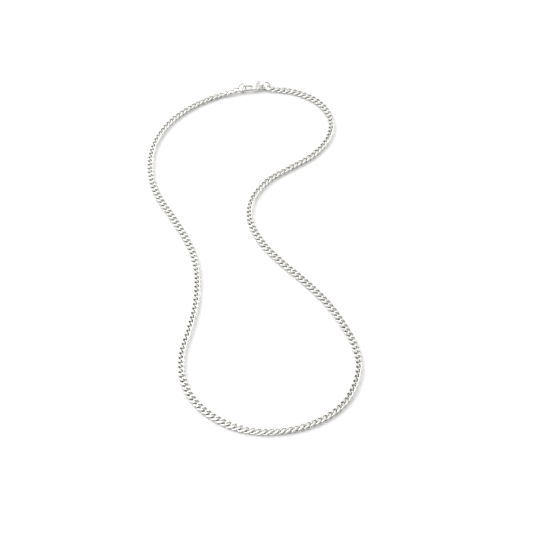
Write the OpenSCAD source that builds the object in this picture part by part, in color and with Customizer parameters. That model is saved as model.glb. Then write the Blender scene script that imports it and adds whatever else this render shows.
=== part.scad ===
// Curb chain necklace with a lobster clasp, fastened and lying on a flat surface.
// The chain lies in the loop that the route gives; z = 0 is the surface, +Y points away from the viewer.

/* [Chain] */
// Distance from one link to the next along the chain
link_pitch = 2.35; // [2.1:0.05:2.6]
// Diameter of the wire that the links are bent from
link_wire = 0.9; // [0.75:0.05:1]
// Width of the chain across its flat side
chain_width = 3.4; // [3.2:0.1:4]
// Depth filed off the top and off the bottom of the twisted links
filed_depth = 0.2; // [0.05:0.05:0.3]
// Clearance between two interlocked links
link_gap = 0.12; // [0.1:0.01:0.2]

/* [Jump rings] */
// Outer diameter of the two jump rings
ring_outer = 4.2; // [4:0.1:4.8]
// Diameter of the jump rings' wire
ring_wire = 0.7; // [0.5:0.05:0.8]
// Angle between the surface and the ring at the clasp's tail, in degrees
jump_ring_lean = 69; // [64:1:74]
// Angle between the surface and the ring in the clasp's hook, in degrees
end_ring_lean = 64; // [60:1:70]

/* [Clasp] */
// Thickness of the hook's arm
arm_thickness = 1.6; // [1.3:0.05:1.7]
// Width of the hook's arm
arm_width = 1; // [0.8:0.05:1.1]
// Clear width of the opening inside the hook
opening_width = 2.3; // [2.1:0.1:2.8]
// Distance from the lever's pivot to the centre of the nose curve
nose_reach = 4.6; // [4.4:0.1:5]
// Thickness of the block that holds the lever
block_thickness = 1.8; // [1.7:0.05:2]
// Distance from the lever's pivot to the hole for the jump ring
eye_reach = 2.7; // [2.6:0.1:3.2]
// Radius of the cheeks round the pivot
cheek_radius = 1.5; // [1.4:0.05:1.7]
// Diameter of the hole in the tail
eye_hole = 1.5; // [1.4:0.05:1.6]
// Width of metal round that hole
eye_wall = 0.55; // [0.5:0.05:0.8]
// Thickness of the tail
eye_thickness = 0.9; // [0.7:0.05:1.1]

/* [Lever] */
// Thickness of the lever where it runs between the cheeks
lever_thickness = 0.8; // [0.6:0.05:0.85]
// Width of the lever's finger at its tip
finger_width = 0.8; // [0.6:0.05:0.9]
// Distance from the pivot to the middle of the round thumb tab
tab_reach = 2.5; // [2.4:0.05:2.7]
// Radius of the thumb tab
tab_radius = 1.3; // [1:0.05:1.4]
// Thickness of the thumb tab outside the cheeks
tab_thickness = 1.4; // [1:0.1:1.6]
// Diameter of the rivet that the lever turns on
rivet_diameter = 0.6; // [0.5:0.05:0.7]
// Running clearance of the lever on its rivet
rivet_gap = 0.05; // [0.03:0.01:0.08]
// Clearance between the lever and each cheek
slot_gap = 0.05; // [0.04:0.01:0.1]
// Clearance between the lever's tip and the hook
gate_gap = 0.08; // [0.06:0.01:0.15]

/* [Hidden] */
$fn = 64;
silver = [0.85, 0.85, 0.84];
bright_silver = [0.9, 0.9, 0.89];

// Route of the chain seen from above, from the jump ring round to the end ring
route = [
    [19.5, 93.5], [30.5, 86], [35.5, 74], [34, 63], [27, 52], [17, 44], [7.5, 36],
    [1, 24], [0.5, 12], [6, -1.5], [13, -11], [23, -22.5], [30.5, -32.5], [36.5, -43.5],
    [41.5, -56.5], [42.5, -67.5], [38, -81.5], [30.5, -90], [18.5, -96], [4.5, -97.5],
    [-7.5, -94], [-19, -84.5], [-24.5, -73], [-25.5, -61], [-23, -47.5], [-21, -36],
    [-20.5, -21], [-22, -9.5], [-25.5, 1], [-32, 14.5], [-38, 26], [-41.5, 37],
    [-42.5, 51], [-40, 63.5], [-33.5, 75.5], [-24, 85], [-13, 91.5]
];

// The clasp lies between the two ends of the route: how far its pivot is from their middle, and its turn from the X axis
clasp_offset = [-0.65, 3.9];
clasp_pivot = (route[0] + route[len(route) - 1]) / 2 + clasp_offset;
clasp_turn = 8;
// Each end link's roll, pitch and heading, and where its end wire lies in its ring: outwards, and up the ring's slope
right_roll = -19;
right_pitch = 6.5;
right_turn = -11;
right_seat = [0.25, -0.52];
left_roll = 0;
left_pitch = -5;
left_turn = 24;
left_seat = [0.86, -0.04];

// Link proportions that follow from the sizes above
link_half_length = (link_pitch + link_wire + link_gap) / 2;
link_half_width = (chain_width - link_wire) / 2;
link_rise = (link_wire + link_gap) / 2 + 0.02;
chain_thickness = 2 * link_rise + link_wire - 2 * filed_depth;
chain_z = chain_thickness / 2;
link_steps = 16;
wire_sides = 6;

// Jump ring proportions
ring_wire_r = ring_wire / 2;
ring_r = ring_outer / 2 - ring_wire_r;
function ring_height(lean) = ring_r * sin(lean) + ring_wire_r;

// Clasp proportions: the origin of its own frame is the pivot, -X points to the nose
arm_mid_r = opening_width / 2 + arm_width / 2;
nose_y = -opening_width / 4;
nose = [-nose_reach, nose_y];
eye_y = -0.75;
eye = [eye_reach, eye_y];
hook_tip_angle = 75;
hook_tip = nose + arm_mid_r * [cos(hook_tip_angle), sin(hook_tip_angle)];
hook_cut_r = norm(nose + opening_width / 2 * [cos(hook_tip_angle), sin(hook_tip_angle)]);
finger_reach = hook_cut_r - gate_gap;
finger_angle = atan2(hook_tip[1], hook_tip[0]);
hub_r = cheek_radius - 0.5;
slot_r = hub_r + 0.15;
slot_height = lever_thickness + 2 * slot_gap;
spine_y = nose_y - arm_mid_r;
slot_side = cheek_radius + 0.3;
block_edge = spine_y - arm_width / 2 - 0.06;
tab_angle = 69;
tab_gap = 0.1;
head_r = rivet_diameter / 2 + 0.15;
head_height = 0.12;
seat_gap = 0.1;
// The hook rests on the end ring's wire
clasp_z = ring_wire + seat_gap + arm_thickness / 2;

// Small vector helpers
function unit(v) = v / norm(v);
function heading(a) = [cos(a), sin(a), 0];
function up_slope(turn, lean) = [-sin(turn) * cos(lean), cos(turn) * cos(lean), sin(lean)];
function from_clasp(q) = clasp_pivot + [q[0] * cos(clasp_turn) - q[1] * sin(clasp_turn),
                                        q[0] * sin(clasp_turn) + q[1] * cos(clasp_turn)];
function turn_x(v, a) = [v[0], v[1] * cos(a) - v[2] * sin(a), v[1] * sin(a) + v[2] * cos(a)];
function turn_y(v, a) = [v[0] * cos(a) + v[2] * sin(a), v[1], -v[0] * sin(a) + v[2] * cos(a)];
function turn_z(v, a) = [v[0] * cos(a) - v[1] * sin(a), v[0] * sin(a) + v[1] * cos(a), v[2]];

// Jump rings: one crosses the middle of the tail's hole, the other encloses the hook's nose
jump_turn = -7;
jump_centre = concat(from_clasp(eye + [ring_r - 0.14, -0.2]), [ring_height(jump_ring_lean)]);
end_turn = 24;
nose_to_ring = 0.21;
end_centre = concat(from_clasp(nose - [arm_mid_r + nose_to_ring, 0]), [ring_height(end_ring_lean)]);

// End links: each is placed by the point of its end wire that lies inside its ring
function in_ring(centre, turn, lean, seat, outward) =
    centre + outward * seat[0] * heading(turn) + seat[1] * up_slope(turn, lean);
right_axis = turn_z(turn_y([1, 0, 0], right_pitch), right_turn);
left_axis = turn_z(turn_y([1, 0, 0], left_pitch), left_turn);
right_link = in_ring(jump_centre, jump_turn, jump_ring_lean, right_seat, 1) + link_half_length * right_axis;
left_link = in_ring(end_centre, end_turn, end_ring_lean, left_seat, -1) - link_half_length * left_axis;

// Centreline of the links that lie between the two end links
band_lead = link_half_length + link_wire / 2 + link_gap;
tube_start = right_link + band_lead * right_axis;
tube_end = left_link - band_lead * left_axis;
laid = [for (q = route) [q[0], q[1], chain_z]];
knots = concat([right_link, tube_start], laid, [tube_end, left_link]);

// Centripetal curve through four neighbouring knots, from b to c as u goes from 0 to 1
function curve(a, b, c, d, u) =
    let (ta = sqrt(norm(b - a)), tb = sqrt(norm(c - b)), tc = sqrt(norm(d - c)))
    let (m1 = (c - b) + tb * ((b - a) / ta - (c - a) / (ta + tb)))
    let (m2 = (c - b) + tb * ((d - c) / tc - (d - b) / (tb + tc)))
    let (u2 = u * u, u3 = u * u * u)
    (2 * u3 - 3 * u2 + 1) * b + (u3 - 2 * u2 + u) * m1 + (3 * u2 - 2 * u3) * c + (u3 - u2) * m2;

steps_per_knot = 2;
spans = len(knots) - 3;
centreline = concat(
    [for (i = [0:spans - 1], k = [0:steps_per_knot - 1])
        let (q = curve(knots[i], knots[i + 1], knots[i + 2], knots[i + 3], k / steps_per_knot))
        [q[0], q[1], max(q[2], chain_z)]],
    [tube_end]);

// The chain's envelope in section: a flat band with chamfered corners, seen along the chain
band_chamfer = chain_thickness * 0.3;
band = [
    [chain_width / 2, -chain_thickness / 2 + band_chamfer],
    [chain_width / 2, chain_thickness / 2 - band_chamfer],
    [chain_width / 2 - band_chamfer, chain_thickness / 2],
    [-chain_width / 2 + band_chamfer, chain_thickness / 2],
    [-chain_width / 2, chain_thickness / 2 - band_chamfer],
    [-chain_width / 2, -chain_thickness / 2 + band_chamfer],
    [-chain_width / 2 + band_chamfer, -chain_thickness / 2],
    [chain_width / 2 - band_chamfer, -chain_thickness / 2]
];

// Sweeps a closed section along a centreline. The links at both ends roll it, less and less with the distance from them
module swept_band(path, section, roll_start, roll_end, lead, roll_reach) {
    n = len(path);
    m = len(section);
    function along(i) = unit(path[min(i + 1, n - 1)] - path[max(i - 1, 0)]);
    function roll(i) =
        let (s = lead + norm(path[i] - path[0]), e = lead + norm(path[i] - path[n - 1]))
        roll_start * pow(max(0, 1 - s / roll_reach), 2) + roll_end * pow(max(0, 1 - e / roll_reach), 2);
    points = [
        for (i = [0:n - 1])
            let (t = along(i), side = unit(cross([0, 0, 1], t)), up = cross(t, side), r = roll(i))
            for (q = section)
                path[i] + (q[0] * cos(r) - q[1] * sin(r)) * side + (q[0] * sin(r) + q[1] * cos(r)) * up
    ];
    walls = [
        for (i = [0:n - 2], j = [0:m - 1])
            [i * m + j, i * m + (j + 1) % m, (i + 1) * m + (j + 1) % m, (i + 1) * m + j]
    ];
    caps = [[for (j = [m - 1:-1:0]) j], [for (j = [0:m - 1]) (n - 1) * m + j]];
    polyhedron(points = points, faces = concat(walls, caps), convexity = 8);
}

// One curb link about its own centre: an oval of round wire, twisted and filed flat
module curb_link() {
    function mid(a) = [link_half_length * cos(a), link_half_width * sin(a), -link_rise * sin(2 * a)];
    function away(a) = unit([link_half_width * cos(a), link_half_length * sin(a), 0]);
    function tangent(a) = unit([-link_half_length * sin(a), link_half_width * cos(a), -2 * link_rise * cos(2 * a)]);
    points = [
        for (i = [0:link_steps - 1])
            let (a = 360 * i / link_steps, t = tangent(a), side = unit(away(a) - (away(a) * t) * t), up = cross(t, side))
            for (j = [0:wire_sides - 1])
                let (w = 360 * j / wire_sides, q = mid(a) + link_wire / 2 * (cos(w) * side + sin(w) * up))
                [q[0], q[1], max(-chain_thickness / 2, min(chain_thickness / 2, q[2]))]
    ];
    faces = [
        for (i = [0:link_steps - 1], j = [0:wire_sides - 1])
            let (i2 = (i + 1) % link_steps, j2 = (j + 1) % wire_sides)
            for (f = [[i * wire_sides + j, i * wire_sides + j2, i2 * wire_sides + j2],
                      [i * wire_sides + j, i2 * wire_sides + j2, i2 * wire_sides + j]]) f
    ];
    polyhedron(points = points, faces = faces, convexity = 4);
}

// A ring of round wire that stands on the surface and leans away from the viewer
module wire_ring(centre, turn, lean) {
    translate(centre) rotate([0, 0, turn]) rotate([lean, 0, 0])
        rotate_extrude(convexity = 4) translate([ring_r, 0]) circle(r = ring_wire_r);
}

module in_clasp_frame() {
    translate([clasp_pivot[0], clasp_pivot[1], clasp_z]) rotate([0, 0, clasp_turn]) children();
}

// Barrel-shaped section of the hook's arm
module arm_section() {
    intersection() {
        circle(r = arm_thickness / 2);
        square([arm_width, arm_thickness], center = true);
    }
}

module curb_chain() {
    color(silver) swept_band(centreline, band, right_roll, left_roll, band_lead, 4 * link_pitch);
}

module end_link_left() {
    color(silver) translate(left_link) rotate([0, 0, left_turn]) rotate([0, left_pitch, 0])
        rotate([left_roll, 0, 0]) curb_link();
}

module end_link_right() {
    color(silver) translate(right_link) rotate([0, 0, right_turn]) rotate([0, right_pitch, 0])
        rotate([right_roll, 0, 0]) curb_link();
}

module end_ring() {
    color(silver) wire_ring(end_centre, end_turn, end_ring_lean);
}

module jump_ring() {
    color(silver) wire_ring(jump_centre, jump_turn, jump_ring_lean);
}

// Hook, spine, cheeks and tail, cast in one
module clasp_body() {
    color(bright_silver) in_clasp_frame() difference() {
        union() {
            difference() {
                translate(concat(nose, [0])) rotate([0, 0, hook_tip_angle - 12])
                    rotate_extrude(angle = 282 - hook_tip_angle, convexity = 4) translate([arm_mid_r, 0]) arm_section();
                translate([0, 0, -arm_thickness]) cylinder(r = hook_cut_r, h = 2 * arm_thickness);
            }
            translate([-nose_reach, spine_y, 0]) rotate([90, 0, 90]) linear_extrude(height = nose_reach) arm_section();
            translate([0, 0, -block_thickness / 2]) cylinder(r = cheek_radius, h = block_thickness);
            translate([0, 0, -block_thickness / 2]) linear_extrude(height = block_thickness)
                polygon([
                    [-cheek_radius, 0], [-cheek_radius, block_edge], [0, block_edge],
                    [eye_reach / 2, eye_y - eye_hole / 2 - eye_wall / 2], [eye_reach / 2, eye_y + eye_hole / 2]
                ]);
            translate([0, 0, -eye_thickness / 2]) linear_extrude(height = eye_thickness) {
                translate(eye) circle(r = eye_hole / 2 + eye_wall);
                polygon([
                    [cheek_radius / 2, eye_y - eye_hole / 2 - eye_wall / 2], [eye_reach, eye_y - eye_hole / 2 - eye_wall],
                    [eye_reach, eye_y + eye_hole / 2 + eye_wall], [cheek_radius / 2, eye_y + eye_hole / 2]
                ]);
            }
        }
        translate([eye_reach, eye_y, -block_thickness]) cylinder(d = eye_hole, h = 2 * block_thickness);
        translate([0, 0, -block_thickness]) cylinder(d = rivet_diameter, h = 2 * block_thickness);
        translate([0, 0, -slot_height / 2]) cylinder(r = slot_r, h = slot_height);
        translate([0, 0, -slot_height / 2]) linear_extrude(height = slot_height)
            polygon([
                [-slot_side, -slot_r], [0, -slot_r], [0, 0], [slot_r, 0],
                [slot_side, slot_r], [slot_side, slot_side], [-slot_side, slot_side]
            ]);
    }
}

// Hub, finger and thumb tab of the sprung lever, closed
module clasp_lever() {
    color(bright_silver) in_clasp_frame() difference() {
        union() {
            translate([0, 0, -lever_thickness / 2]) linear_extrude(height = lever_thickness) {
                circle(r = hub_r);
                intersection() {
                    rotate(finger_angle) polygon([
                        [0, -hub_r * 0.7], [finger_reach + 1, -finger_width / 2],
                        [finger_reach + 1, finger_width / 2], [0, hub_r * 0.7]
                    ]);
                    circle(r = finger_reach);
                }
                rotate(tab_angle) translate([0, -hub_r * 0.8]) square([tab_reach, hub_r * 1.6]);
            }
            rotate([0, 0, tab_angle]) difference() {
                translate([tab_reach, 0, -tab_thickness / 2]) cylinder(r = tab_radius, h = tab_thickness);
                for (side = [-1, 1])
                    translate([0, 0, side * (lever_thickness + block_thickness) / 2 - block_thickness / 2])
                        cylinder(r = cheek_radius + tab_gap, h = block_thickness);
            }
        }
        translate([0, 0, -block_thickness]) cylinder(d = rivet_diameter + 2 * rivet_gap, h = 2 * block_thickness);
    }
}

// Rivet through both cheeks, with a low head on each
module clasp_rivet() {
    color(silver) in_clasp_frame() {
        translate([0, 0, -block_thickness / 2]) cylinder(d = rivet_diameter, h = block_thickness);
        translate([0, 0, block_thickness / 2]) cylinder(r = head_r, h = head_height);
        translate([0, 0, -block_thickness / 2 - head_height]) cylinder(r = head_r, h = head_height);
    }
}

curb_chain();
end_link_left();
end_link_right();
end_ring();
jump_ring();
clasp_body();
clasp_lever();
clasp_rivet();
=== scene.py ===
"""Dresses a curb chain necklace: filed silver links, two jump rings and a lobster clasp on a white table.

Every length is in millimetres and every angle in degrees, unless a docstring says otherwise. MM turns a
length into metres, which the frame's boxes and a mesh's points are in.
"""

import logging
import math
import random
from collections.abc import Callable, Iterator
from contextlib import contextmanager
from dataclasses import dataclass
from enum import Enum

import bmesh
import bpy
from mathutils import Matrix, Vector


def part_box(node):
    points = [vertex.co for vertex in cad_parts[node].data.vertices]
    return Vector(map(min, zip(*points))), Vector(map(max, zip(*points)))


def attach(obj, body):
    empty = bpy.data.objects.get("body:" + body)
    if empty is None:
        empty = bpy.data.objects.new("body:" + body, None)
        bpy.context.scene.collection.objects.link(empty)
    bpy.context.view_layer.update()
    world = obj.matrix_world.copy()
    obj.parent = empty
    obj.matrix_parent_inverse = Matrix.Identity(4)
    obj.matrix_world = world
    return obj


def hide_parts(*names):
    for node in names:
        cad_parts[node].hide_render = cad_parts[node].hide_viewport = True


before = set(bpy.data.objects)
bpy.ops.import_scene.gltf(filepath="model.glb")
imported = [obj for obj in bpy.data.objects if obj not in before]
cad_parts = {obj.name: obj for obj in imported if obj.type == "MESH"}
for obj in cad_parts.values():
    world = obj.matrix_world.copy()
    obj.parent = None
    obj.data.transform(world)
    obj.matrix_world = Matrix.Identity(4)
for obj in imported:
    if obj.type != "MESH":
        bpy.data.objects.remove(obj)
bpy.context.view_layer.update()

MM = 0.001
BODY = "necklace"
LEVER_BODY = "lever"
# How far apart two places may lie and still be taken for one
NEAR = 0.01
# Points that lie closer than this are merged
MERGE = 0.0005
# How far a cut runs into the one beside it
OVERLAP = 0.1
# How many sides stand for a wide circle and for a narrow one
WIDE_SIDES = 64
NARROW_SIDES = 32

Triple = tuple[float, float, float]

log = logging.getLogger("necklace")


class Axis(Enum):
    """An axis of the frame, by its direction."""

    X = (1.0, 0.0, 0.0)
    Y = (0.0, 1.0, 0.0)
    Z = (0.0, 0.0, 1.0)


def deselect_all() -> None:
    """Leaves nothing selected, so that an operator acts on the new piece alone."""
    if bpy.context.mode != "OBJECT":
        bpy.ops.object.mode_set(mode="OBJECT")
    bpy.ops.object.select_all(action="DESELECT")


def make_active(piece: bpy.types.Object) -> None:
    """Selects one piece alone and makes it the active one.

    Args:
        piece: the piece that the next operator acts on.
    """
    deselect_all()
    piece.select_set(True)
    bpy.context.view_layer.objects.active = piece


def newest(name: str) -> bpy.types.Object:
    """Names the piece that an operator has just added, and its mesh.

    Args:
        name: the name for both.

    Returns:
        The piece.
    """
    piece = bpy.context.active_object
    piece.name = name
    piece.data.name = name
    return piece


@contextmanager
def editing(piece: bpy.types.Object) -> Iterator[None]:
    """Opens a piece in edit mode with nothing selected, and closes it again.

    Args:
        piece: the piece to open.
    """
    make_active(piece)
    bpy.ops.object.mode_set(mode="EDIT")
    bpy.ops.mesh.select_mode(type="VERT")
    bpy.ops.mesh.select_all(action="DESELECT")
    yield
    bpy.ops.object.mode_set(mode="OBJECT")


def select_points(piece: bpy.types.Object, wanted: Callable[[Vector], bool]) -> None:
    """Selects the points of a piece in edit mode by their place.

    Args:
        piece: the piece that is open in edit mode.
        wanted: tells from a point's place, in metres, whether it is selected.
    """
    shape = bmesh.from_edit_mesh(piece.data)
    for point in shape.verts:
        point.select = wanted(point.co)
    shape.select_flush(True)
    shape.select_flush(False)
    bmesh.update_edit_mesh(piece.data)


def select_faces(piece: bpy.types.Object, wanted: Callable[[Vector, Vector], bool]) -> None:
    """Selects the faces of a piece in edit mode by their middle and their normal.

    Args:
        piece: the piece that is open in edit mode.
        wanted: tells from a face's middle, in metres, and its normal whether it is selected.
    """
    bpy.ops.mesh.select_mode(type="FACE")
    shape = bmesh.from_edit_mesh(piece.data)
    for face in shape.faces:
        face.select = wanted(face.calc_center_median(), face.normal)
    shape.select_flush(True)
    bmesh.update_edit_mesh(piece.data)


def finish_with(piece: bpy.types.Object, kind: str, **settings: object) -> None:
    """Adds a modifier to a piece and applies it.

    Args:
        piece: the piece to change.
        kind: the modifier's type, such as BEVEL.
        settings: the modifier's own settings, by name.
    """
    make_active(piece)
    bpy.ops.object.modifier_add(type=kind)
    modifier = piece.modifiers[-1]
    for name, value in settings.items():
        setattr(modifier, name, value)
    bpy.ops.object.modifier_apply(modifier=modifier.name)


def cut_away(piece: bpy.types.Object, tool: bpy.types.Object) -> None:
    """Takes a closed form away from a piece, and removes the form."""
    finish_with(piece, "BOOLEAN", object=tool, operation="DIFFERENCE", solver="EXACT")
    bpy.data.objects.remove(tool)


def place(piece: bpy.types.Object, matrix: Matrix) -> None:
    """Moves a piece's mesh by a matrix, and leaves its object at the origin."""
    piece.data.transform(matrix)
    piece.data.update()


def add_slab(name: str, low: Triple, high: Triple) -> bpy.types.Object:
    """Adds a block between two corners.

    Args:
        name: its name.
        low: the corner with the least x, y and z.
        high: the corner with the most.

    Returns:
        The block.
    """
    deselect_all()
    corner, far = Vector(low) * MM, Vector(high) * MM
    bpy.ops.mesh.primitive_cube_add(size=1, location=(corner + far) / 2, scale=far - corner)
    bpy.ops.object.transform_apply(location=True, rotation=True, scale=True)
    return newest(name)


def add_disc(
    name: str, at: tuple[float, float], radius: float, low: float, high: float, sides: int = WIDE_SIDES,
) -> bpy.types.Object:
    """Adds an upright disc.

    Args:
        name: its name.
        at: its axis in plan.
        radius: its radius.
        low: the height of its foot.
        high: the height of its top.
        sides: how many sides stand for the circle.

    Returns:
        The disc.
    """
    deselect_all()
    bpy.ops.mesh.primitive_cylinder_add(
        vertices=sides, radius=radius * MM, depth=(high - low) * MM,
        location=Vector((at[0], at[1], (low + high) / 2)) * MM)
    bpy.ops.object.transform_apply(location=True, rotation=True, scale=True)
    return newest(name)


def join_pieces(pieces: list[bpy.types.Object], name: str) -> bpy.types.Object:
    """Joins pieces into one.

    Args:
        pieces: the pieces, of which the first takes up the others.
        name: the new name of the first.

    Returns:
        The joined piece.
    """
    make_active(pieces[0])
    for piece in pieces:
        piece.select_set(True)
    if len(pieces) > 1:
        bpy.ops.object.join()
    return newest(name)


@dataclass(frozen=True)
class WaxSkin:
    """The soft skin of a wax model.

    Its faces are grid across, it is smoothed as often as passes says, and then grows again by swell.
    """

    grid: float
    passes: int
    swell: float

    def cast(self, forms: list[bpy.types.Object], name: str) -> bpy.types.Object:
        """Melts overlapping closed forms into one skin, as wax forms are before casting.

        Args:
            forms: the forms.
            name: the new piece's name.

        Returns:
            The piece.
        """
        piece = join_pieces(forms, name)
        finish_with(piece, "REMESH", mode="VOXEL", voxel_size=self.grid * MM, use_smooth_shade=True)
        finish_with(piece, "SMOOTH", factor=0.5, iterations=self.passes)
        finish_with(piece, "DISPLACE", strength=self.swell * MM, mid_level=0.0)
        return piece


def round_over(
    form: bpy.types.Object, across: float, down: float, steps: int = 6, least_edge: float = 50.0,
) -> None:
    """Rounds a form's edges over, further across its faces than down its sides, so that it looks puffed.

    Args:
        form: the form, whose faces lie level.
        across: how far the rounding reaches across a face.
        down: how far it reaches down a side.
        steps: how many faces stand for the rounding.
        least_edge: edges that turn by less than this angle are left alone.
    """
    place(form, Matrix.Diagonal((1, 1, across / down, 1)))
    finish_with(form, "BEVEL", width=across * MM, segments=steps, angle_limit=math.radians(least_edge))
    place(form, Matrix.Diagonal((1, 1, down / across, 1)))


def close_normals(piece: bpy.types.Object) -> None:
    """Merges doubled points and turns all faces outwards.

    Args:
        piece: the piece to close.
    """
    with editing(piece):
        bpy.ops.mesh.select_all(action="SELECT")
        bpy.ops.mesh.remove_doubles(threshold=MERGE * MM)
        bpy.ops.mesh.normals_make_consistent(inside=False)


def cap_ends(tube: bpy.types.Object) -> None:
    """Closes both ends of an open tube.

    Args:
        tube: the tube.
    """
    with editing(tube):
        bpy.ops.mesh.select_non_manifold()
        bpy.ops.mesh.edge_face_add()
    close_normals(tube)


def smooth(piece: bpy.types.Object, soft_edge: float) -> None:
    """Shades a piece smooth over the edges that turn by less than an angle."""
    make_active(piece)
    bpy.ops.object.shade_smooth_by_angle(angle=math.radians(soft_edge))


def linear_rgba(sheet: str) -> tuple[float, float, float, float]:
    """Turns an sRGB hex colour into linear values.

    Args:
        sheet: the colour as six hex digits, such as E8E6E1.

    Returns:
        Red, green, blue and an alpha of one.
    """
    parts = (int(sheet[at:at + 2], 16) / 255 for at in (0, 2, 4))
    red, green, blue = (
        part / 12.92 if part <= 0.04045 else ((part + 0.055) / 1.055) ** 2.4 for part in parts)
    return red, green, blue, 1.0


def add_node(
    tree: bpy.types.NodeTree, kind: str, settings: dict[str, object], inputs: dict[str | int, object],
) -> bpy.types.Node:
    """Adds a node with its settings and its inputs.

    Args:
        tree: the node tree that it is added to.
        kind: the node's type.
        settings: the node's own settings, by name.
        inputs: values or output sockets, by the input's name or its number.

    Returns:
        The new node.
    """
    node = tree.nodes.new(kind)
    for name, value in settings.items():
        setattr(node, name, value)
    for name, value in inputs.items():
        socket = node.inputs[name]
        if isinstance(value, bpy.types.NodeSocket):
            tree.links.new(value, socket)
        else:
            socket.default_value = value
    return node


@dataclass(frozen=True)
class SilverFinish:
    """Sterling silver with one way of finishing its surface.

    The cloudy wear is grain across. It starts where its noise passes the first value of wear_range, and is
    full from the second one on. The scratches lie scratch apart and are scratch_depth deep, and stretch packs
    them closer along an axis.
    """

    name: str
    colour: str
    worn_colour: str
    roughness: float
    worn_roughness: float
    grain: float
    scratch: float
    scratch_depth: float
    stretch: tuple[float, float, float] = (1.0, 1.0, 1.0)
    wear_range: tuple[float, float] = (0.42, 0.62)

    def material(self) -> bpy.types.Material:
        """Makes the material, the first time that it is asked for.

        Returns:
            The material.
        """
        made = bpy.data.materials.get(self.name)
        if made:
            return made
        made = bpy.data.materials.new(self.name)
        made.use_nodes = True
        tree = made.node_tree
        shader = tree.nodes["Principled BSDF"]
        shader.inputs["Metallic"].default_value = 1.0
        where = add_node(tree, "ShaderNodeTexCoord", {}, {})
        cloud = add_node(tree, "ShaderNodeTexNoise", {}, {
            "Vector": where.outputs["Object"],
            "Scale": 1 / (self.grain * MM),
            "Detail": 3.0,
        })
        worn = add_node(tree, "ShaderNodeMapRange", {}, {
            "Value": cloud.outputs["Fac"],
            "From Min": self.wear_range[0],
            "From Max": self.wear_range[1],
        })
        tint = add_node(tree, "ShaderNodeMix", {"data_type": "RGBA"}, {
            "Factor": worn.outputs["Result"],
            6: linear_rgba(self.colour),
            7: linear_rgba(self.worn_colour),
        })
        gloss = add_node(tree, "ShaderNodeMapRange", {}, {
            "Value": worn.outputs["Result"],
            "To Min": self.roughness,
            "To Max": self.worn_roughness,
        })
        run = add_node(tree, "ShaderNodeMapping", {}, {
            "Vector": where.outputs["Object"],
            "Scale": self.stretch,
        })
        scratches = add_node(tree, "ShaderNodeTexNoise", {}, {
            "Vector": run.outputs["Vector"],
            "Scale": 1 / (self.scratch * MM),
            "Detail": 2.0,
        })
        bump = add_node(tree, "ShaderNodeBump", {}, {
            "Height": scratches.outputs["Fac"],
            "Strength": 1.0,
            "Distance": self.scratch_depth * MM,
        })
        tree.links.new(tint.outputs[2], shader.inputs["Base Color"])
        tree.links.new(gloss.outputs["Result"], shader.inputs["Roughness"])
        tree.links.new(bump.outputs["Normal"], shader.inputs["Normal"])
        return made


# Tumbled sterling silver: the drawn wire of the links, polished in a barrel, so the eye sees a soft mirror
TUMBLED = SilverFinish(
    name="tumbled_sterling_silver", colour="E4E3E0", worn_colour="D1D0CC",
    roughness=0.10, worn_roughness=0.20, grain=0.9, scratch=0.16, scratch_depth=0.0012)
# Filed sterling silver: the flats cut on the links' faces, with fine marks that run one way
FILED = SilverFinish(
    name="filed_sterling_silver", colour="E9E8E6", worn_colour="DBDAD6",
    roughness=0.12, worn_roughness=0.22, grain=1.4, scratch=0.10, scratch_depth=0.0010,
    stretch=(1.0, 6.0, 1.0))
# Cast sterling silver: the clasp, whose polished skin keeps the soft waves of its mould
CAST = SilverFinish(
    name="cast_sterling_silver", colour="DEDCDA", worn_colour="CBC9C5",
    roughness=0.12, worn_roughness=0.24, grain=1.1, scratch=0.35, scratch_depth=0.0025)
# Drawn sterling silver: the jump rings' wire, straight from the draw plate
DRAWN = SilverFinish(
    name="drawn_sterling_silver", colour="DBDAD7", worn_colour="C6C5C1",
    roughness=0.13, worn_roughness=0.22, grain=0.8, scratch=0.12, scratch_depth=0.0015)


def dress(piece: bpy.types.Object, finish: SilverFinish, body: str, *nodes: str) -> None:
    """Gives a finished piece its silver, its body and the CAD nodes that it stands for.

    Args:
        piece: the finished piece.
        finish: the silver that it is made of.
        body: the body that it moves with.
        nodes: the CAD nodes that it replaces.
    """
    if not piece.data.materials:
        piece.data.materials.append(finish.material())
    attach(piece, body)
    if nodes:
        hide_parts(*nodes)


@dataclass(frozen=True)
class EndPose:
    """How an end link lies: its heading, pitch and roll, as in the part's source."""

    node: str
    heading: float
    pitch: float
    roll: float

    def axis(self) -> Vector:
        """Returns the link's long axis."""
        return Matrix.Rotation(math.radians(self.heading), 3, Axis.Z.name) @ (
            Matrix.Rotation(math.radians(self.pitch), 3, Axis.Y.name) @ Vector(Axis.X.value))

    def centre(self) -> Vector:
        """Returns the link's centre, which is the mean of its CAD node's corners."""
        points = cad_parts[self.node].data.vertices
        corners = {tuple(round(value, 7) for value in point.co) for point in points}
        return sum((Vector(corner) for corner in corners), Vector()) / len(corners)


def rounded_share(corners: int) -> float:
    """Returns the share of a ring's radius that its corners keep when a Subdivision Surface rounds it."""
    return (3 + math.cos(2 * math.pi / corners)) / 4


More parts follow.
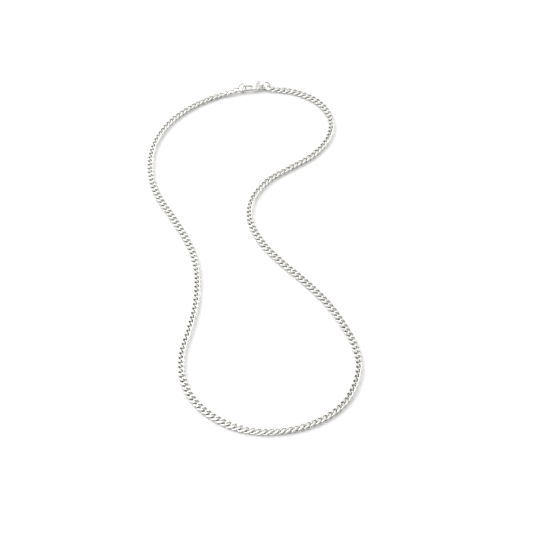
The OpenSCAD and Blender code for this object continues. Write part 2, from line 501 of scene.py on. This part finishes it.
@dataclass(frozen=True)
class CurbLink:
    """One link: a long ring of drawn wire, twisted, pressed flat and filed on both faces.

    Its flats' borders are kept crisp by border_crease. A face lies on a flat if its normal points up or down
    by more than least_level.
    """

    name: str
    wire: float
    half_length: float
    half_width: float
    twist: float
    half_thickness: float = 0.78
    ring_steps: int = 14
    wire_sides: int = 6
    border_crease: float = 0.8
    least_level: float = 0.99

    def build(self) -> bpy.types.Object:
        """Bends, twists and files the link about its own centre.

        Returns:
            The link as a closed mesh of a few dozen faces, which its Subdivision Surface rounds off.
        """
        bend = self.half_width / rounded_share(self.ring_steps)
        deselect_all()
        bpy.ops.mesh.primitive_torus_add(
            major_radius=bend * MM,
            minor_radius=self.wire / 2 / rounded_share(self.wire_sides) * MM,
            major_segments=self.ring_steps,
            minor_segments=self.wire_sides,
            rotation=(0, 0, math.pi / self.ring_steps),
        )
        bpy.ops.object.transform_apply(location=False, rotation=True, scale=False)
        link = newest(self.name)
        for side in (-1, 1):
            with editing(link):
                select_points(link, lambda at, side=side: side * at.x > NEAR * MM)
                bpy.ops.transform.translate(value=(side * (self.half_length - bend) * MM, 0, 0))
        reach = self.half_length + self.wire / 2
        finish_with(
            link, "SIMPLE_DEFORM", deform_method="TWIST", deform_axis=Axis.X.name,
            angle=-2 * math.radians(self.twist) * reach / self.half_length)
        for side in (-1, 1):
            with editing(link):
                bpy.ops.mesh.select_all(action="SELECT")
                bpy.ops.mesh.bisect(
                    plane_co=(0, 0, side * self.half_thickness * MM),
                    plane_no=(0, 0, side),
                    use_fill=True,
                    clear_outer=True,
                )
        self.dress_flats(link)
        return link

    def dress_flats(self, link: bpy.types.Object) -> None:
        """Gives the filed flats their own finish and a crisp border.

        Args:
            link: the filed link.
        """
        level = (self.half_thickness - NEAR) * MM

        def is_flat(middle: Vector, normal: Vector) -> bool:
            """Tells whether a face lies on a filed flat."""
            return abs(middle.z) > level and abs(normal.z) > self.least_level

        link.data.materials.append(TUMBLED.material())
        link.data.materials.append(FILED.material())
        make_active(link)
        bpy.ops.object.shade_smooth()
        for face in link.data.polygons:
            if is_flat(face.center, face.normal):
                face.material_index = 1
        with editing(link):
            select_faces(link, is_flat)
            bpy.ops.mesh.region_to_loop()
            bpy.ops.transform.edge_crease(value=self.border_crease)
            bpy.ops.mesh.mark_sharp()


@dataclass
class CurbChain:
    """The flat chain: twisted and filed links that lie along the route.

    The route's points are those of the part's source, from the clasp's tail round to its hook. Each link
    rolls by up to sway at random. An end link's roll dies away over the first ease_links links.
    """

    pitch: float = 2.35
    link: CurbLink = CurbLink("curb_link", wire=1.0, half_length=1.725, half_width=1.2, twist=52)
    end_link: CurbLink = CurbLink("end_link", wire=0.9, half_length=1.685, half_width=1.25, twist=48)
    sway: float = 1.6
    seed: int = 11
    ease_links: int = 4
    end_gap: float = 0.12
    lift: float = 0.02
    straight_steps: int = 8
    curve_steps: int = 24
    right: EndPose = EndPose("end_link_right", heading=-11, pitch=6.5, roll=-19)
    left: EndPose = EndPose("end_link_left", heading=24, pitch=-5, roll=0)
    route: tuple[tuple[float, float], ...] = (
        (19.5, 93.5), (30.5, 86), (35.5, 74), (34, 63), (27, 52), (17, 44), (7.5, 36),
        (1, 24), (0.5, 12), (6, -1.5), (13, -11), (23, -22.5), (30.5, -32.5), (36.5, -43.5),
        (41.5, -56.5), (42.5, -67.5), (38, -81.5), (30.5, -90), (18.5, -96), (4.5, -97.5),
        (-7.5, -94), (-19, -84.5), (-24.5, -73), (-25.5, -61), (-23, -47.5), (-21, -36),
        (-20.5, -21), (-22, -9.5), (-25.5, 1), (-32, 14.5), (-38, 26), (-41.5, 37),
        (-42.5, 51), (-40, 63.5), (-33.5, 75.5), (-24, 85), (-13, 91.5),
    )

    @property
    def half_thickness(self) -> float:
        """Half the thickness of the filed chain, which is its middle's height over the table."""
        return self.link.half_thickness

    def centreline(self) -> list[Vector]:
        """Lays a smooth line through the route.

        Returns:
            Points in metres, close together, from the middle of the right end link to that of the left one.
        """
        lead = (self.end_link.half_length + self.end_link.wire / 2 + self.end_gap) * MM
        first, last = self.right.centre(), self.left.centre()
        laid = [Vector((x, y, self.half_thickness)) * MM for x, y in self.route]
        knots = [first, first + lead * self.right.axis(), *laid, last - lead * self.left.axis(), last]
        line = [first.lerp(knots[1], step / self.straight_steps) for step in range(self.straight_steps)]
        for knot in zip(knots, knots[1:], knots[2:], knots[3:]):
            line += [self.curve_point(*knot, step / self.curve_steps) for step in range(self.curve_steps)]
        line += [knots[-2].lerp(last, step / self.straight_steps) for step in range(self.straight_steps + 1)]
        return line

    def curve_point(self, before: Vector, start: Vector, end: Vector, after: Vector, share: float) -> Vector:
        """Finds a point of a centripetal curve, never lower than the middle of a link on the table.

        Args:
            before: the knot before the stretch.
            start: the knot where the stretch starts.
            end: the knot where it ends.
            after: the knot after the stretch.
            share: the share of the stretch that lies behind the point.

        Returns:
            The point, in metres as the knots are.
        """
        gap_a, gap_b, gap_c = (
            math.sqrt((far - near).length) for near, far in ((before, start), (start, end), (end, after)))
        leave = (end - start) + gap_b * ((start - before) / gap_a - (end - before) / (gap_a + gap_b))
        arrive = (end - start) + gap_b * ((after - end) / gap_c - (after - start) / (gap_b + gap_c))
        square, cube = share ** 2, share ** 3
        at = ((2 * cube - 3 * square + 1) * start + (cube - 2 * square + share) * leave
              + (3 * square - 2 * cube) * end + (cube - square) * arrive)
        at.z = max(at.z, self.half_thickness * MM)
        return at

    def link_places(self) -> list[Matrix]:
        """Works out where each link lies.

        Returns:
            One matrix for each link, from the right end link to the left one.
        """
        line = self.centreline()
        run = [0.0]
        for near, far in zip(line, line[1:]):
            run.append(run[-1] + (far - near).length)
        count = round(run[-1] / (self.pitch * MM))
        ease = self.ease_links * self.pitch * MM
        chance = random.Random(self.seed)
        places = []
        at = 0
        for number in range(count + 1):
            way = run[-1] * number / count
            while at < len(run) - 2 and run[at + 1] < way:
                at += 1
            middle = line[at].lerp(line[at + 1], (way - run[at]) / (run[at + 1] - run[at]))
            ahead = (line[min(at + 2, len(line) - 1)] - line[max(at - 1, 0)]).normalized()
            across = Vector(Axis.Z.value).cross(ahead).normalized()
            up = ahead.cross(across)
            roll = (self.right.roll * max(0.0, 1 - way / ease) ** 2
                    + self.left.roll * max(0.0, 1 - (run[-1] - way) / ease) ** 2)
            if 0 < number < count:
                roll += chance.uniform(-self.sway, self.sway)
                middle.z += self.lift * MM
            turned = Matrix((ahead, across, up)).transposed().to_4x4()
            rolled = Matrix.Rotation(math.radians(roll), 4, Axis.X.name)
            places.append(Matrix.Translation(middle) @ turned @ rolled)
        return places

    def lay(self, base: bpy.types.Object, name: str, places: list[Matrix]) -> bpy.types.Object:
        """Copies a link to each place, joins the copies and rounds them off.

        A copy that would sink into the table is lifted until it lies on it.

        Args:
            base: the link about its own centre.
            name: the new piece's name.
            places: where each copy lies.

        Returns:
            The copies as one piece.
        """
        copies = []
        for matrix in places:
            link = base.copy()
            link.data = base.data.copy()
            bpy.context.collection.objects.link(link)
            place(link, matrix)
            lowest = min(point.co.z for point in link.data.vertices)
            place(link, Matrix.Translation((0, 0, max(0.0, -lowest))))
            copies.append(link)
        piece = join_pieces(copies, name)
        rounding = piece.modifiers.new("rounding", "SUBSURF")
        rounding.levels = rounding.render_levels = 1
        return piece

    def build(self) -> list[bpy.types.Object]:
        """Copies the link along the route and dresses the chain and its two end links.

        Returns:
            The chain and the two end links.
        """
        base, end_base = self.link.build(), self.end_link.build()
        places = self.link_places()
        made = []
        for name, start, ways, node in (
            ("curb_links", base, places[1:-1], "curb_chain"),
            ("right_end_link", end_base, places[:1], self.right.node),
            ("left_end_link", end_base, places[-1:], self.left.node),
        ):
            piece = self.lay(start, name, ways)
            dress(piece, TUMBLED, BODY, node)
            log.info("%s: %d links", name, len(ways))
            made.append(piece)
        bpy.data.objects.remove(base)
        bpy.data.objects.remove(end_base)
        return made


@dataclass
class JumpRing:
    """A ring of drawn wire with its saw cut closed but not soldered.

    It has a heading in plan, leans over about that heading, and its saw cut is at cut_at round the ring.
    """

    name: str
    node: str
    heading: float
    lean: float
    cut_at: float
    outer: float = 4.2
    wire: float = 0.7
    cut_width: float = 0.05
    steps: int = 72
    sides: int = 20
    soft_edge: float = 40.0

    def build(self) -> bpy.types.Object:
        """Spins the wire's section round, caps the cut and dresses the ring.

        Returns:
            The ring.
        """
        low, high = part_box(self.node)
        centre = (Vector(low) + Vector(high)) / 2
        radius = (self.outer - self.wire) / 2
        missing = self.cut_width / radius
        deselect_all()
        bpy.ops.mesh.primitive_circle_add(
            vertices=self.sides, radius=self.wire / 2 * MM, fill_type="NOTHING",
            location=(radius * MM, 0, 0), rotation=(math.pi / 2, 0, 0))
        bpy.ops.object.transform_apply(location=True, rotation=True, scale=True)
        ring = newest(self.name)
        with editing(ring):
            bpy.ops.mesh.select_all(action="SELECT")
            bpy.ops.mesh.spin(
                steps=self.steps, angle=2 * math.pi - missing, center=(0, 0, 0), axis=Axis.Z.value)
        cap_ends(ring)
        place(ring, Matrix.Translation(centre)
              @ Matrix.Rotation(math.radians(self.heading), 4, Axis.Z.name)
              @ Matrix.Rotation(math.radians(self.lean), 4, Axis.X.name)
              @ Matrix.Rotation(math.radians(self.cut_at), 4, Axis.Z.name))
        smooth(ring, self.soft_edge)
        dress(ring, DRAWN, BODY, self.node)
        return ring


@dataclass
class LobsterClasp:
    """The cast clasp: a hooked body, a sprung lever on a rivet, and an eye for the tail's jump ring.

    It is shaped about the rivet, with the nose towards -X, and then turned and moved to the rivet's place.
    """

    turn: float = 8.0
    soft_edge: float = 42.0
    body_skin: WaxSkin = WaxSkin(grid=0.065, passes=14, swell=0.02)
    lever_skin: WaxSkin = WaxSkin(grid=0.055, passes=10, swell=0.015)
    # The hook and the spine
    nose_reach: float = 4.6
    nose_side: float = -0.575
    arm_bend: float = 1.65
    arm_width: float = 1.0
    arm_thickness: float = 1.6
    arm_sides: int = 28
    tip_angle: float = 75.0
    spine_angle: float = 270.0
    bend_steps: int = 40
    # The cheeks and the block beside them
    cheek_radius: float = 1.5
    block_thickness: float = 1.8
    block_edge: float = 2.785
    block_slant: Triple = (0.6, -0.8, 0.0)
    puff_across: float = 0.85
    puff_down: float = 0.5
    # The tail's eye and neck
    eye: tuple[float, float] = (2.7, -0.75)
    eye_hole: float = 1.5
    eye_wall: float = 0.55
    eye_thickness: float = 0.9
    eye_sides: int = 16
    neck_start: float = 0.8
    neck_below: float = 1.05
    neck_above: float = 0.9
    neck_edge: float = 0.25
    # The slot that the lever lies in
    slot_radius: float = 1.15
    slot_height: float = 0.9
    slot_side: float = 1.8
    # The lever's hub, finger and thumb tab
    lever_thickness: float = 0.8
    hub_radius: float = 1.0
    finger_reach: float = 4.24
    finger_angle: float = 166.3
    finger_root: float = 1.4
    finger_width: float = 0.8
    finger_edge: float = 0.15
    tab_angle: float = 69.0
    tab_reach: float = 2.5
    tab_neck: float = 1.6
    tab_radius: float = 1.3
    tab_thickness: float = 1.4
    tab_gap: float = 0.1
    # The rivet and its hole
    rivet_radius: float = 0.3
    rivet_gap: float = 0.05
    rivet_sides: int = 40
    hub_cut: float = 1.0
    head_radius: float = 0.45
    # The head's dome from its top down, as shares of the head's radius and heights over the cheek
    head_dome: tuple[tuple[float, float], ...] = ((0.55, 0.12), (0.88, 0.09), (1.0, 0.04), (1.0, 0.0))

    def seat(self) -> Matrix:
        """Returns the move from the clasp's own frame to its place round the CAD rivet."""
        low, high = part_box("clasp_rivet")
        turned = Matrix.Rotation(math.radians(self.turn), 4, Axis.Z.name)
        return Matrix.Translation((Vector(low) + Vector(high)) / 2) @ turned

    def add_section(self, name: str, at: Vector, turn: float) -> bpy.types.Object:
        """Adds the arm's oval section as an open outline.

        Args:
            name: its name.
            at: its centre.
            turn: how far the section's plane is turned from XZ about Z.

        Returns:
            The outline.
        """
        deselect_all()
        bpy.ops.mesh.primitive_circle_add(
            vertices=self.arm_sides, radius=MM / 2, fill_type="NOTHING", location=at * MM,
            rotation=(math.pi / 2, 0, math.radians(turn)), scale=(self.arm_width, self.arm_thickness, 1))
        bpy.ops.object.transform_apply(location=True, rotation=True, scale=True)
        return newest(name)

    def hook(self) -> bpy.types.Object:
        """Spins the arm's section round the nose, from the hook's tip to the spine.

        Returns:
            The hook as a closed form.
        """
        nose = Vector((-self.nose_reach, self.nose_side, 0))
        arc = self.add_section("hook", nose + Vector((self.arm_bend, 0, 0)), 0)
        place(arc, Matrix.Translation(nose * MM)
              @ Matrix.Rotation(math.radians(self.tip_angle), 4, Axis.Z.name)
              @ Matrix.Translation(-nose * MM))
        with editing(arc):
            bpy.ops.mesh.select_all(action="SELECT")
            # Spin turns clockwise here, so an anticlockwise bend has a negative angle
            bpy.ops.mesh.spin(
                steps=self.bend_steps, angle=-math.radians(self.spine_angle - self.tip_angle),
                center=nose * MM, axis=Axis.Z.value)
        cap_ends(arc)
        return arc

    def spine(self) -> bpy.types.Object:
        """Draws the arm's section out straight, from the nose into the block.

        Returns:
            The spine as a closed form.
        """
        start = Vector((-self.nose_reach, self.nose_side - self.arm_bend, 0))
        bar = self.add_section("spine", start, 90)
        with editing(bar):
            bpy.ops.mesh.select_all(action="SELECT")
            bpy.ops.mesh.extrude_region_move(
                TRANSFORM_OT_translate={"value": (self.nose_reach * MM, 0, 0)})
        cap_ends(bar)
        return bar

    def block(self) -> list[bpy.types.Object]:
        """Shapes the cheeks and the block beside them, which hold the lever.

        Returns:
            The two forms, whose edges are rounded over.
        """
        half = self.block_thickness / 2
        cheeks = add_disc("cheeks", (0, 0), self.cheek_radius, -half, half)
        foot = add_slab(
            "foot", (-self.cheek_radius, -self.block_edge, -half), (self.eye[0] / 2, self.puff_across, half))
        with editing(foot):
            bpy.ops.mesh.select_all(action="SELECT")
            bpy.ops.mesh.bisect(
                plane_co=(0, -self.block_edge * MM, 0), plane_no=self.block_slant,
                use_fill=True, clear_outer=True)
        for form in (cheeks, foot):
            round_over(form, self.puff_across, self.puff_down)
        return [cheeks, foot]

    def tail(self) -> list[bpy.types.Object]:
        """Shapes the eye's rim and the neck that joins it to the block.

        Returns:
            The two forms.
        """
        half = self.eye_thickness / 2
        deselect_all()
        bpy.ops.mesh.primitive_torus_add(
            major_radius=(self.eye_hole + self.eye_wall) / 2 * MM, minor_radius=self.eye_wall / 2 * MM,
            major_segments=WIDE_SIDES, minor_segments=self.eye_sides, location=Vector((*self.eye, 0)) * MM)
        rim = newest("rim")
        rim.scale.z = self.eye_thickness / self.eye_wall
        bpy.ops.object.transform_apply(location=True, rotation=True, scale=True)
        neck = add_slab(
            "neck", (self.neck_start, self.eye[1] - self.neck_below, -half),
            (self.eye[0] - self.eye_hole / 2, self.eye[1] + self.neck_above, half))
        finish_with(neck, "BEVEL", width=self.neck_edge * MM, segments=3)
        return [rim, neck]

    def build_body(self) -> bpy.types.Object:
        """Casts the hook, spine, block and eye in one, and cuts the slot and the holes.

        Returns:
            The clasp's frame.
        """
        body = self.body_skin.cast([self.hook(), self.spine(), *self.block(), *self.tail()], "clasp_frame")
        slot, reach, side = self.slot_height / 2, self.block_thickness, self.slot_side
        opening = add_slab("slot", (-side, 0, -slot), (side, side, slot))
        with editing(opening):
            select_points(opening, lambda at: at.x > 0 and at.y < NEAR * MM)
            bpy.ops.transform.translate(value=((self.slot_radius - side) * MM, 0, 0))
        for form in (
            opening,
            add_slab("side_slot", (-side, -self.slot_radius, -slot), (0, OVERLAP, slot)),
            add_disc("round_slot", (0, 0), self.slot_radius, -slot, slot),
            add_disc("rivet_hole", (0, 0), self.rivet_radius, -reach, reach, NARROW_SIDES),
            add_disc("eye_hole", self.eye, self.eye_hole / 2, -reach, reach),
        ):
            cut_away(body, form)
        return body

    def build_lever(self) -> bpy.types.Object:
        """Casts the hub, finger and thumb tab in one, and cuts their clearances.

        Returns:
            The lever.
        """
        half, wide, reach = self.lever_thickness / 2, self.tab_thickness / 2, self.block_thickness
        hub = add_disc("hub", (0, 0), self.hub_radius, -half, half)
        root, narrow = self.finger_root / 2, self.tab_neck / 2
        finger = add_slab("finger", (0, -root, -half), (self.finger_reach, root, half))
        with editing(finger):
            select_points(finger, lambda at: at.x > NEAR * MM)
            bpy.ops.transform.resize(value=(1, self.finger_width / self.finger_root, 1))
        place(finger, Matrix.Rotation(math.radians(self.finger_angle), 4, Axis.Z.name))
        neck = add_slab("tab_neck", (0, -narrow, -half), (self.tab_reach, narrow, half))
        tab = add_disc("thumb_tab", (self.tab_reach, 0), self.tab_radius, -wide, wide)
        for form in (neck, tab):
            place(form, Matrix.Rotation(math.radians(self.tab_angle), 4, Axis.Z.name))
        finish_with(finger, "BEVEL", width=self.finger_edge * MM, segments=3)
        round_over(tab, self.puff_across, self.puff_down)
        lever = self.lever_skin.cast([hub, finger, neck, tab], "gate_lever")
        room = self.cheek_radius + self.tab_gap
        hole = self.rivet_radius + self.rivet_gap
        for form in (
            add_disc("lower_cheek_room", (0, 0), room, -reach, -half),
            add_disc("upper_cheek_room", (0, 0), room, half, reach),
            add_disc("hub_hole", (0, 0), hole, -self.hub_cut, self.hub_cut, NARROW_SIDES),
        ):
            cut_away(lever, form)
        return lever

    def build_rivet(self) -> bpy.types.Object:
        """Turns the rivet's pin and its two low domed heads.

        Returns:
            The rivet.
        """
        half = self.block_thickness / 2
        profile = [(self.head_radius * share, half + height) for share, height in self.head_dome]
        profile.append((self.rivet_radius, half))
        profile += [(radius, -height) for radius, height in reversed(profile)]
        (first_radius, first_height), *_ = profile
        deselect_all()
        bpy.ops.mesh.primitive_circle_add(
            vertices=self.rivet_sides, radius=first_radius * MM, fill_type="NGON",
            location=(0, 0, first_height * MM))
        bpy.ops.object.transform_apply(location=True, rotation=True, scale=True)
        rivet = newest("rivet_pin")
        for (radius, height), (wider, lower) in zip(profile, profile[1:]):
            with editing(rivet):
                select_points(rivet, lambda at, height=height, radius=radius: (
                    abs(at.z - height * MM) < NEAR * MM and abs(at.xy.length - radius * MM) < NEAR * MM))
                bpy.ops.mesh.extrude_region_move(
                    TRANSFORM_OT_translate={"value": (0, 0, (lower - height) * MM)})
                bpy.ops.transform.resize(value=(wider / radius, wider / radius, 1))
        close_normals(rivet)
        return rivet

    def build(self) -> list[bpy.types.Object]:
        """Builds and dresses the clasp.

        Returns:
            The body, the lever and the rivet.
        """
        made = []
        for piece, finish, body, node in (
            (self.build_body(), CAST, BODY, "clasp_body"),
            (self.build_lever(), CAST, LEVER_BODY, "clasp_lever"),
            (self.build_rivet(), DRAWN, BODY, "clasp_rivet"),
        ):
            place(piece, self.seat())
            smooth(piece, self.soft_edge)
            dress(piece, finish, body, node)
            made.append(piece)
        return made


@dataclass(frozen=True)
class RoomPatch:
    """A round patch of the room that is lighter or darker than the walls.

    Its azimuth is 0 behind the necklace and 90 to its right, and its elevation is 90 straight above.
    """

    azimuth: float
    elevation: float
    radius: float
    light: float
    blur: float = 8.0

    def direction(self) -> Triple:
        """Returns the way to the patch's middle."""
        turn, rise = math.radians(self.azimuth), math.radians(self.elevation)
        return math.sin(turn) * math.cos(rise), math.cos(turn) * math.cos(rise), math.sin(rise)

    def reach(self, share: float) -> float:
        """Returns the cosine of the patch's radius, moved out by a share of its blur."""
        return math.cos(math.radians(max(self.radius + share * self.blur, 0.0)))


@dataclass(frozen=True)
class Softbox:
    """A square soft light that faces the middle of the necklace."""

    name: str
    at: Triple
    side: float
    watts: float

    def hang(self) -> None:
        """Hangs the light in its place."""
        data = bpy.data.lights.new(self.name, "AREA")
        data.shape = "SQUARE"
        data.size = self.side * MM
        data.energy = self.watts
        light = bpy.data.objects.new(self.name, data)
        bpy.context.collection.objects.link(light)
        light.location = Vector(self.at) * MM
        light.rotation_euler = (-light.location).to_track_quat("-Z", "Y").to_euler()


@dataclass
class Studio:
    """The white table, the pale room with its softbox, and the camera of the photograph.

    The camera stands in front of the necklace and above it, and looks straight ahead and down. Its focal
    length focal_px is in pixels of the photograph, which is frame_px wide.
    """

    camera_at: Triple = (7.2, -483.6, 500.5)
    look_down: float = 46.76
    focal_px: float = 1698.0
    frame_px: int = 533
    sensor: float = 36.0
    nearest: float = 10.0
    farthest: float = 20000.0
    table: float = 4000.0
    softbox: Softbox = Softbox("overhead_softbox", at=(-300, 500, 900), side=700, watts=0.7)
    walls: float = 1.10
    # A diffuser at the right, a wide bright one at the left, the dim camera side, the left one's dim top
    patches: tuple[RoomPatch, ...] = (
        RoomPatch(azimuth=95, elevation=15, radius=25, light=1.8),
        RoomPatch(azimuth=295, elevation=15, radius=50, light=3.2),
        RoomPatch(azimuth=185, elevation=35, radius=45, light=0.2),
        RoomPatch(azimuth=315, elevation=60, radius=15, light=1.2),
    )

    def build(self) -> None:
        """Lays the table, and sets up the camera and the lights."""
        self.lay_table()
        self.set_camera()
        self.set_world()
        self.softbox.hang()
        bpy.context.scene.view_settings.view_transform = "Standard"

    def lay_table(self) -> None:
        """Lays a white acrylic table top under the necklace."""
        deselect_all()
        bpy.ops.mesh.primitive_plane_add(size=self.table * MM, location=(0, 0, 0))
        table = newest("table_top")
        white = bpy.data.materials.new("white_acrylic")
        white.use_nodes = True
        shader = white.node_tree.nodes["Principled BSDF"]
        shader.inputs["Base Color"].default_value = linear_rgba("FDFDFD")
        shader.inputs["Roughness"].default_value = 0.7
        shader.inputs["Specular IOR Level"].default_value = 0.2
        table.data.materials.append(white)

    def set_camera(self) -> None:
        """Puts the camera where the photograph was taken from."""
        data = bpy.data.cameras.new("camera")
        data.sensor_width = self.sensor
        data.lens = self.focal_px * self.sensor / self.frame_px
        data.clip_start = self.nearest * MM
        data.clip_end = self.farthest * MM
        camera = bpy.data.objects.new("camera", data)
        bpy.context.collection.objects.link(camera)
        camera.location = Vector(self.camera_at) * MM
        camera.rotation_euler = (math.radians(90 - self.look_down), 0, 0)
        bpy.context.scene.camera = camera

    def set_world(self) -> None:
        """Lights the room: its pale walls, and the patches laid over them one after another."""
        world = bpy.data.worlds.new("room")
        bpy.context.scene.world = world
        world.use_nodes = True
        tree = world.node_tree
        where = add_node(tree, "ShaderNodeTexCoord", {}, {})
        light: float | bpy.types.NodeSocket = self.walls
        for patch in self.patches:
            toward = add_node(tree, "ShaderNodeVectorMath", {"operation": "DOT_PRODUCT"}, {
                0: where.outputs["Generated"],
                1: patch.direction(),
            })
            share = add_node(tree, "ShaderNodeMapRange", {"interpolation_type": "SMOOTHSTEP"}, {
                "Value": toward.outputs["Value"],
                "From Min": patch.reach(1),
                "From Max": patch.reach(-1),
            })
            light = add_node(tree, "ShaderNodeMix", {"data_type": "FLOAT"}, {
                "Factor": share.outputs["Result"],
                2: light,
                3: patch.light,
            }).outputs[0]
        tree.links.new(light, tree.nodes["Background"].inputs["Color"])


def main() -> None:
    """Builds the studio and the necklace, and reports each piece."""
    logging.basicConfig(level=logging.INFO, format="%(name)s: %(message)s")
    Studio().build()
    pieces = CurbChain().build()
    pieces.append(JumpRing("tail_jump_ring", "jump_ring", heading=-7, lean=69, cut_at=60).build())
    pieces.append(JumpRing("end_jump_ring", "end_ring", heading=24, lean=64, cut_at=150).build())
    pieces += LobsterClasp().build()
    for piece in pieces:
        log.info("%s: %d faces", piece.name, len(piece.data.polygons))


if __name__ == "__main__":
    main()
